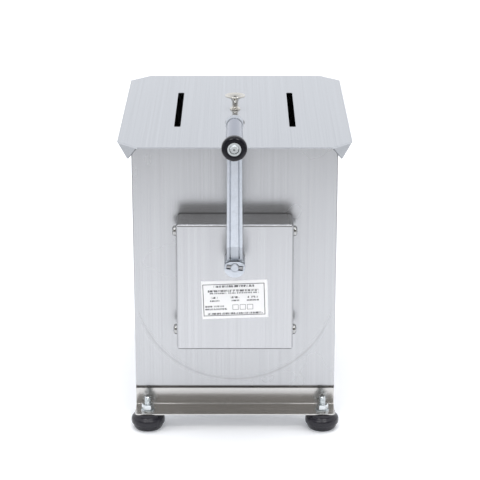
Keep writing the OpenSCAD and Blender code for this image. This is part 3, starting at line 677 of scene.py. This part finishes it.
finish(plate_steel, "front_plate", "rear_plate")
finish(tank_steel, "trough", "cover_lugs", "crank_boss", "front_boss", "rear_boss")
finish(rail_steel, "front_foot_rail", "rear_foot_rail")
finish(lid_steel, "lid_sheet")
finish(cover_steel, "gear_cover")
finish(screw_steel, "cover_washers")
finish(zinc, "foot_washers", "foot_nuts", "grip_nut", "lid_knob_screw")
finish(bolt_zinc, "grip_bolt")
finish(bright_steel, "paddle_shaft", "paddle_arms", "paddle_blades")
finish(gear_steel, "paddle_gear", "gear_key", "gear_clip", "crank_pin")
finish(gear_steel, "drive_pinion", "pinion_key", "pinion_clip")
finish(casting, "crank_arm", "crank_shaft")
finish(sleeve_metal, "grip_sleeve")
finish(black_plastic, "grip_end_ring")
finish(nylon, "cover_bush", "crank_bush", "front_bush", "rear_bush")
finish(seal_rubber, "front_seal", "rear_seal")
finish(label, "label_plate")

# %% [markdown]
# ## Turned forms
#
# Knobs and feet are bodies of revolution. A list of radii and heights is their outline, a Catmull-Rom
# curve through it rounds the outline, and turning it about an axis makes the skin. A point given twice
# stays a corner, which is how the flat base of a foot keeps its edge. A Screw modifier would turn the
# outline too, but a function can put many turned forms into one mesh.


# %% Outline and lathe
def catmull_rom(p, q, r, s, t):
    bend = (2 * p - 5 * q + 4 * r - s) * t * t
    twist = (3 * q - p - 3 * r + s) * t ** 3
    return 0.5 * (2 * q + (r - p) * t + bend + twist)


def rounded(points, steps=5):
    run = [points[0], *points, points[-1]]
    curve = []
    for a, b, c, d in zip(run, run[1:], run[2:], run[3:]):
        for i in range(0 if b == c else steps):
            curve.append(tuple(catmull_rom(*ends, i / steps) for ends in zip(a, b, c, d)))
    return curve + [points[-1]]


def on_ring(radius, height, i, segments):
    angle = 2 * math.pi * i / segments
    return Vector((radius * math.cos(angle), radius * math.sin(angle), height))


def turn(work, outline, place, segments=64):
    rings = []
    for radius, height in outline:
        count = segments if radius else 1
        rings.append([work.verts.new(place @ on_ring(radius, height, i, segments)) for i in range(count)])
    for low, high in zip(rings, rings[1:]):
        for i in range(segments):
            j = i + 1
            corners = (low[i % len(low)], low[j % len(low)], high[j % len(high)], high[i % len(high)])
            work.faces.new(dict.fromkeys(corners))


def scaled(outline):
    return [(radius * MM, height * MM) for radius, height in outline]


# %% From a bmesh to an object, and to a piece that rides on a body
smooth_limit = math.radians(32)


def blank(name, work):
    bmesh.ops.recalc_face_normals(work, faces=work.faces)
    mesh = bpy.data.meshes.new(name)
    work.to_mesh(mesh)
    work.free()
    return linked(name, mesh)


def piece(name, work, material, body, slot, *replaced):
    made = blank(name, work)
    made.data.materials.append(material)
    made.data.shade_smooth()
    made.data.set_sharp_from_angle(angle=smooth_limit)
    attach(made, body)
    if replaced:
        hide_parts(*replaced)
    print(name, "faces:", len(made.data.polygons))
    return made


# %% [markdown]
# ### Soft edges on sheet and bar
#
# No edge of a real sheet is knife sharp, and the thin bright line along it is what makes it look like
# metal. The solids come as triangles, so a copy first joins the flat ones, and then its sharp edges are
# bevelled. A Bevel modifier on the solid itself would be shorter, but the triangles' own normals spoil its
# shading.

# %% Softened copies
same_place = 0.001 * MM
same_plane, sharp_edge = math.radians(0.4), math.radians(30)


def flat_faced(node):
    work = bmesh.new()
    work.from_mesh(nodes[node].data)
    bmesh.ops.remove_doubles(work, verts=work.verts, dist=same_place)
    bmesh.ops.dissolve_limit(work, angle_limit=same_plane, verts=work.verts, edges=work.edges)
    return work


def softened(node, width, material, slot):
    work = flat_faced(node)
    sharp = [e for e in work.edges if len(e.link_faces) == 2 and e.calc_face_angle() > sharp_edge]
    bmesh.ops.bevel(work, geom=sharp, offset=width, segments=2, profile=0.5,
                    affect="EDGES", clamp_overlap=True)
    soft = piece("soft_" + node, work, material, nodes[node]["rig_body"], slot, node)
    soft.modifiers.new("flat_faces", "WEIGHTED_NORMAL").keep_sharp = True
    return soft


softened("lid_sheet", 0.45 * MM, lid_steel, "stainless_sheet")
for end in ("front", "rear"):
    softened(end + "_foot_rail", 0.25 * MM, rail_steel, "rail_sheet")
softened("foot_washers", 0.2 * MM, zinc, "zinc_hardware")
softened("paddle_blades", 0.6 * MM, bright_steel, "turned_steel")

# %% [markdown]
# ### The cast crank arm
#
# The arm is a casting: a bar with a raised rib along each edge, a round hub and a boss for the grip. A
# casting has no sharp edges, so the bar is drawn as a rounded section that is carried along the arm, where
# it steps outwards once and narrows towards the grip. The hub and the boss are turned forms. Boolean cuts
# make the flat above the hub's face, unions join the three, and more cuts make the pocket of the cross pin
# and the bores. The bores come last, because a Boolean that follows a hole through a face can lose faces.
# It also loses them on forms a few thousandths of a unit wide, so this work is done in millimetres and
# scaled down at the end.


# %% Bodies for Boolean work
def combine(body, other, operation):
    step = body.modifiers.new("step", "BOOLEAN")
    step.object = other
    step.operation = operation
    joined = bpy.data.meshes.new_from_object(body.evaluated_get(bpy.context.evaluated_depsgraph_get()))
    body.modifiers.clear()
    body.data = joined
    bpy.data.objects.remove(other)


def placed(made, place):
    work = bmesh.new()
    work.from_mesh(made.data)
    bpy.data.objects.remove(made)
    bmesh.ops.transform(work, matrix=place @ Matrix.Scale(MM, 4), verts=work.verts)
    return work


def skin(work, rings, closed=False):
    pairs = list(zip(rings, rings[1:]))
    if closed:
        pairs.append((rings[-1], rings[0]))
    for low, high in pairs:
        for i in range(len(low)):
            j = (i + 1) % len(low)
            work.faces.new((low[i], low[j], high[j], high[i]))
    if not closed:
        work.faces.new(rings[0])
        work.faces.new(rings[-1])


def prism(outline, low, high):
    work = bmesh.new()
    skin(work, [[work.verts.new((x, y, z)) for x, y in outline] for z in (low, high)])
    return blank("prism", work)


def rod(radius, low, high, edge, up=0.0):
    work = bmesh.new()
    nip = 0.3 * edge
    outline = [(0, low), (radius - edge, low), (radius - nip, low + nip), (radius, low + edge),
               (radius, high - edge), (radius - nip, high - nip), (radius - edge, high), (0, high)]
    turn(work, outline, Matrix.Translation((0, up, 0)))
    return blank("rod", work)


# %% Sizes of the arm, in millimetres from the hub's axis and back
arm_low, arm_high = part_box("crank_arm")
hub_r = (arm_high.x - arm_low.x) / 2 / MM
hub_l, hub_flat, shoulder = 28.5, 7.4, 4.1
boss_r, boss_l = 9.7, 12.2
reach = (arm_high.z - arm_low.z) / MM - hub_r - boss_r
grip_front = (arm_high.y - arm_low.y) / MM
hub_half, grip_half = 9.2, 8.4
rib, groove, web, arm_depth, edge_r = 3.3, 2.4, 1.8, 10, 0.9
hub_drop, boss_drop = 2.6, 2.5
rib_low, rib_high = hub_l - hub_drop, grip_front - boss_drop
slope_start, slope_end = 8, 27
pin_half, pin_r, pin_tilt, pin_room = 9.5, 2.5, math.radians(-7), 0.8
sink_r, sink_rim, sink_depth, sink_up = 4.6, 5.3, 1.4, 0.6
shaft_bore, bolt_bore = 4.85, 4.05
overlap, past = 0.6, 1
print("arm: hub", round(hub_r, 2), "reach", round(reach, 2), "grip front", round(grip_front, 2))


# %% The bar's section and its way from hub to grip
def arm_section(half):
    inner = half - rib
    nip = 0.3 * edge_r
    wall_foot, groove_end, web_start = inner - 0.2, inner - 0.7, inner - 1.4
    side = [(half - edge_r, -arm_depth), (half - nip, nip - arm_depth), (half, edge_r - arm_depth),
            (half, -edge_r), (half - nip, -nip), (half - edge_r, 0),
            (inner + edge_r, 0), (inner + nip, -0.25 * edge_r), (inner, -edge_r),
            (wall_foot, -groove), (groove_end, -groove), (web_start, -web)]
    return side + [(-x, y) for x, y in reversed(side)]


def arm_bar(start):
    work = bmesh.new()
    rings = []
    soft = 0.8
    bends = [edge + shift for edge in (slope_start, slope_end) for shift in (-soft, 0, soft)]
    for up in (start, *bends, reach):
        shares = [(up + shift - slope_start) / (slope_end - slope_start) for shift in (-soft, soft)]
        passed = [min(1, max(0, share)) for share in shares]
        front = rib_low + (rib_high - rib_low) * sum(passed) / 2
        half = hub_half + (grip_half - hub_half) * up / reach
        rings.append([work.verts.new((x, up, front + depth)) for x, depth in arm_section(half)])
    skin(work, rings)
    return blank("arm_bar", work)


# %% The hub, the pocket of the cross pin and the bores
def arm_hub():
    hub = rod(hub_r, 0, hub_l, edge_r)
    inner, outer = grip_half - rib, hub_r + past
    step = [(-outer, shoulder), (-inner, hub_flat), (inner, hub_flat), (outer, shoulder),
            (outer, outer), (-outer, outer)]
    combine(hub, prism(step, rib_low, hub_l + past), "DIFFERENCE")
    channel = [(-inner, hub_flat), (inner, hub_flat), (inner, outer), (-inner, outer)]
    combine(hub, prism(channel, rib_low - web, hub_l + past), "DIFFERENCE")
    return hub


def pin_pocket():
    floor = (arm_high.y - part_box("crank_pin")[1].y) / MM
    top = pin_r + pin_room
    corners = ((-pin_half, -pin_r), (pin_half, -pin_r), (pin_half, top), (-pin_half, top))
    tilt = Matrix.Rotation(pin_tilt, 2)
    return prism([tilt @ Vector(corner) for corner in corners], floor, hub_l + past)


def hub_sink():
    work = bmesh.new()
    floor, end = hub_l - sink_depth, hub_l + past
    outline = [(0, floor), (sink_r, floor), (sink_rim, hub_l), (sink_rim, end), (0, end)]
    turn(work, outline, Matrix.Translation((0, sink_up, 0)), segments=50)
    return blank("sink", work)


def arm_bores():
    work = bmesh.new()
    hub_bore = (shaft_bore, 0, -past, hub_l + past)
    boss_bore = (bolt_bore, reach, grip_front - boss_l - past, grip_front + past)
    for radius, up, start, end in (hub_bore, boss_bore):
        turn(work, [(0, start), (radius, start), (radius, end), (0, end)], Matrix.Translation((0, up, 0)))
    return blank("bores", work)


# %% The whole arm
def crank_arm():
    hub = arm_hub()
    arm = arm_bar(hub_flat - overlap)
    combine(arm, hub, "UNION")
    combine(arm, rod(boss_r, grip_front - boss_l, grip_front, edge_r, reach), "UNION")
    for cutter in (pin_pocket, hub_sink, arm_bores):
        combine(arm, cutter(), "DIFFERENCE")
    hub_place = Matrix.Translation((0, arm_high.y, arm_low.z + hub_r * MM))
    place = hub_place @ Matrix.Rotation(math.pi / 2, 4, "X")
    return piece("cast_crank_arm", placed(arm, place), casting, "crank", "cast_arm", "crank_arm")


crank_arm()

# %% [markdown]
# ### Chamfered nuts
#
# A nut is cut from hexagon bar, and both its ends are turned to a flat cone, so that every corner ends in
# a small arc. The solid gives the hexagon and the way it is turned. A Boolean intersection with a turned
# double cone takes its corners off. The cones reach past the nut's ends, because Booleans dislike faces
# that coincide.


# %% Chamfered nuts
def chamfered(node, flats, axis):
    work = flat_faced(node)
    bmesh.ops.transform(work, matrix=Matrix.Scale(1 / MM, 4), verts=work.verts)
    nut = blank("nut", work)
    cones = bmesh.new()
    flat_r, above, slant = flats / 2 - 0.2, 0.3, 0.65
    wide = 0.6 * flats + 1
    turned = Matrix.Rotation(math.pi / 2, 4, "X") if axis == Y else Matrix.Identity(4)
    for low, high in solids(node):
        half = (high[axis] - low[axis]) / MM / 2
        edge = half - (wide - flat_r) * slant
        tip, end = flat_r - above / slant, half + above
        outline = [(0, -end), (tip, -end), (wide, -edge), (wide, edge), (tip, end), (0, end)]
        turn(cones, outline, Matrix.Translation(middle((low, high)) / MM) @ turned)
    combine(nut, blank("cones", cones), "INTERSECT")
    work = placed(nut, Matrix.Identity(4))
    return piece("chamfered_" + node, work, zinc, nodes[node]["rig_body"], "zinc_hardware", node)


m8_flats = 13
chamfered("foot_nuts", m8_flats, Z)
chamfered("grip_nut", m8_flats, Y)

# %% [markdown]
# ### The lid knob
#
# The knob flares like a trumpet from a slim neck to a thin rim, with a dished top, a small hole in the
# dish and a turned foot. The curve between neck and rim carries the highlight, so it is drawn with more
# points than the rest.

# %% Lid knob
knob_foot = [(0, 0), (6.5, 0), (6.5, 0), (6.5, 0.9), (6.1, 1.7), (4.7, 2.3)]
knob_neck = [(3.9, 3.6), (3.7, 6.4), (3.9, 9.2), (4.7, 12.1), (6.5, 14.2), (9.3, 15.5), (11.7, 16.2)]
knob_rim = [(12.5, 16.9), (12.4, 17.7), (11.7, 18.1), (10.6, 17.9)]
knob_dish = [(8.6, 17.2), (6.0, 16.7), (3.4, 16.5), (2, 16.4), (2, 16.4), (2, 12.5), (2, 12.5), (0, 12.5)]


def lid_knob():
    low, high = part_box("lid_knob")
    centre = middle((low, high))
    work = bmesh.new()
    outline = scaled(rounded(knob_foot + knob_neck + knob_rim + knob_dish))
    turn(work, outline, Matrix.Translation((centre.x, centre.y, low.z)))
    return piece("knob", work, nickel, "lid", "knob_nickel", "lid_knob")


lid_knob()

# %% [markdown]
# ### Rubber feet
#
# A foot is a thick moulded disc: a flat base, a slanted lower wall, a crisp ledge under a fat round rim, and
# a shoulder up to the rail. Cylinders with bevelled edges would come close, but one turned outline holds all
# of these curves.

# %% Rubber feet
foot_wall = [(0, 0), (14.4, 0), (14.4, 0), (15.8, 0.6), (17.0, 2.2), (17.9, 4.4), (18.3, 6.4), (18.4, 7.1)]
foot_rim = [(18.4, 7.1), (19.7, 7.4), (20.1, 8.6), (20.2, 11.0), (19.8, 13.4), (18.6, 15.1), (16.9, 16.4)]
foot_shoulder = [(15.9, 17.7), (15.6, 19.4), (15.5, 20.7), (15.5, 20.7), (0, 20.7)]


def rubber_foot(node):
    centre = middle(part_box(node))
    work = bmesh.new()
    outline = scaled(rounded(foot_wall + foot_rim + foot_shoulder))
    turn(work, outline, Matrix.Translation((centre.x, centre.y, 0)), segments=80)
    return piece("rubber_" + node, work, rubber, "tank", "foot_rubber", node)


for corner in ("front_left", "front_right", "rear_left", "rear_right"):
    rubber_foot("foot_" + corner)

# %% [markdown]
# ### Threaded studs
#
# A thread is a ridge that climbs by one pitch a turn. Here it is the skin of a rod whose radius depends on
# height and angle together, so the ridge closes on itself and needs no joining. It fades out into the
# chamfer at the top.

# %% Threaded studs
thread_r, thread_pitch, thread_chamfer = 4 * MM, 1.25 * MM, 1.2 * MM


def thread(work, base, length, segments=40, rows_per_turn=8):
    depth = 0.61 * thread_pitch
    rows = round(length / thread_pitch * rows_per_turn)
    rings = []
    for row in range(rows + 1):
        height = length * row / rows
        room = thread_r - max(0, height - (length - thread_chamfer)) * 0.9
        ring = []
        for i in range(segments):
            turns = height / thread_pitch - i / segments
            ridge = abs((turns % 1) * 2 - 1)
            radius = min(room, thread_r - depth * min(1, max(0, 1.25 * ridge - 0.12)))
            ring.append(work.verts.new(base + on_ring(radius, height, i, segments)))
        rings.append(ring)
    skin(work, rings)


def foot_studs():
    work = bmesh.new()
    for low, high in solids("foot_studs"):
        centre = middle((low, high))
        thread(work, Vector((centre.x, centre.y, low.z)), high.z - low.z)
    return piece("threaded_studs", work, zinc, "tank", "zinc_hardware", "foot_studs")


foot_studs()

# %% [markdown]
# ### Cover screws
#
# The cover is held by four pan-head screws with a cross recess. The head is turned, and a Boolean takes
# the cross out of it: two crossed wedges, as the driver's tip would leave it.

# %% Cover screws
shank_r, head_l = 3, 3.7
head = [(5.7, -head_l), (6, -3.3), (5.95, -2.2), (5.4, -1.2), (4, -0.4), (2, -0.05), (0, 0)]
recess_reach, recess_half, recess_depth = 3, 0.6, 2.4


def wedge(turned):
    work = bmesh.new()
    place = Matrix.Rotation(turned, 3, "Z")
    corners = ((-1, -1), (1, -1), (1, 1), (-1, 1))
    ends = []
    for height, share in ((1, 1.1), (-recess_depth, 0.55)):
        end = [Vector((x * recess_reach * share, y * recess_half * share, height)) for x, y in corners]
        ends.append([work.verts.new(place @ corner) for corner in end])
    skin(work, ends)
    return blank("wedge", work)


def cover_screw(name, low, high):
    centre = middle((low, high))
    side = 1 if centre.x > 0 else -1
    tip = high.x if side > 0 else low.x
    shank_end = (low.x - high.x) / MM
    foot, neck = (shank_r, shank_end), (shank_r, -head_l)
    shank = [(0, shank_end), foot, foot, neck, neck]
    work = bmesh.new()
    turn(work, rounded(shank + head), Matrix.Identity(4), segments=48)
    screw = blank("screw", work)
    for turned in (0, math.pi / 2):
        combine(screw, wedge(turned), "DIFFERENCE")
    place = Matrix.Translation((tip, centre.y, centre.z)) @ Matrix.Rotation(side * math.pi / 2, 4, "Y")
    return piece(name, placed(screw, place), screw_steel, "tank", "zinc_hardware", "cover_screws")


for number, (low, high) in enumerate(solids("cover_screws"), 1):
    cover_screw(f"cover_screw_{number}", low, high)

# %% [markdown]
# ## Weld beads
#
# The trough and the paddle bars are welded. A bead is a half-round seam with small ripples, one for each
# dab of the welder. It is a tube along a line of points whose radius rises and falls with the distance. A
# curve with a round bevel would give the tube, but not the ripples.


# %% Rippled bead along a line
def bead(work, path, radius, ripple, closed=False, sides=8):
    rings = []
    run = 0.0
    last = len(path) - 1
    for i, point in enumerate(path):
        ahead = path[(i + 1) % len(path)] if closed or i < last else point
        behind = path[i - 1] if closed or i > 0 else point
        forward = (ahead - behind).normalized()
        across = across - forward * across.dot(forward) if rings else forward.orthogonal()
        across = across.normalized()
        over = forward.cross(across)
        run += (point - path[i - 1]).length if i else 0
        r = radius * (1 + 0.14 * math.sin(2 * math.pi * run / ripple))
        angles = [2 * math.pi * k / sides for k in range(sides)]
        spokes = [across * math.cos(angle) + over * math.sin(angle) for angle in angles]
        rings.append([work.verts.new(point + spoke * r) for spoke in spokes])
    skin(work, rings, closed)


# %% Seams under the trough
def trough_seams():
    low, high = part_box("trough")
    inset, steps = 0.4 * MM, 240
    first, sweep = 195, 150
    reach = paddle_axis.z - low.z + 0.5 * MM
    work = bmesh.new()
    for depth in (low.y + inset, high.y - inset):
        path = []
        for i in range(steps + 1):
            angle = math.radians(first + sweep * i / steps)
            path.append(Vector((reach * math.cos(angle), depth, paddle_axis.z + reach * math.sin(angle))))
        bead(work, path, radius=1.5 * MM, ripple=3.2 * MM)
    return piece("trough_seams", work, weld_metal, "tank", "welded_steel")


trough_seams()


# %% Seams at the foot of each paddle bar
def paddle_seams():
    shaft_low, shaft_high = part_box("paddle_shaft")
    seam_r = (shaft_high.z - shaft_low.z) / 2 + 0.6 * MM
    along = Vector((0, 1, 0))
    steps = 72
    work = bmesh.new()
    for low, high in solids("paddle_arms"):
        centre = middle((low, high))
        out = Vector((centre.x, 0, centre.z - paddle_axis.z)).normalized()
        side = out.cross(along)
        ring_r = (high.y - low.y) / 2 + 0.4 * MM
        start = Vector((0, centre.y, paddle_axis.z))
        path = []
        for i in range(steps):
            angle = 2 * math.pi * i / steps
            sideways = ring_r * math.sin(angle)
            lift = math.sqrt(seam_r ** 2 - sideways ** 2)
            path.append(start + along * ring_r * math.cos(angle) + side * sideways + out * lift)
        bead(work, path, radius=1.3 * MM, ripple=2.8 * MM, closed=True)
    return piece("paddle_seams", work, weld_metal, "paddle", "turned_steel")


paddle_seams()
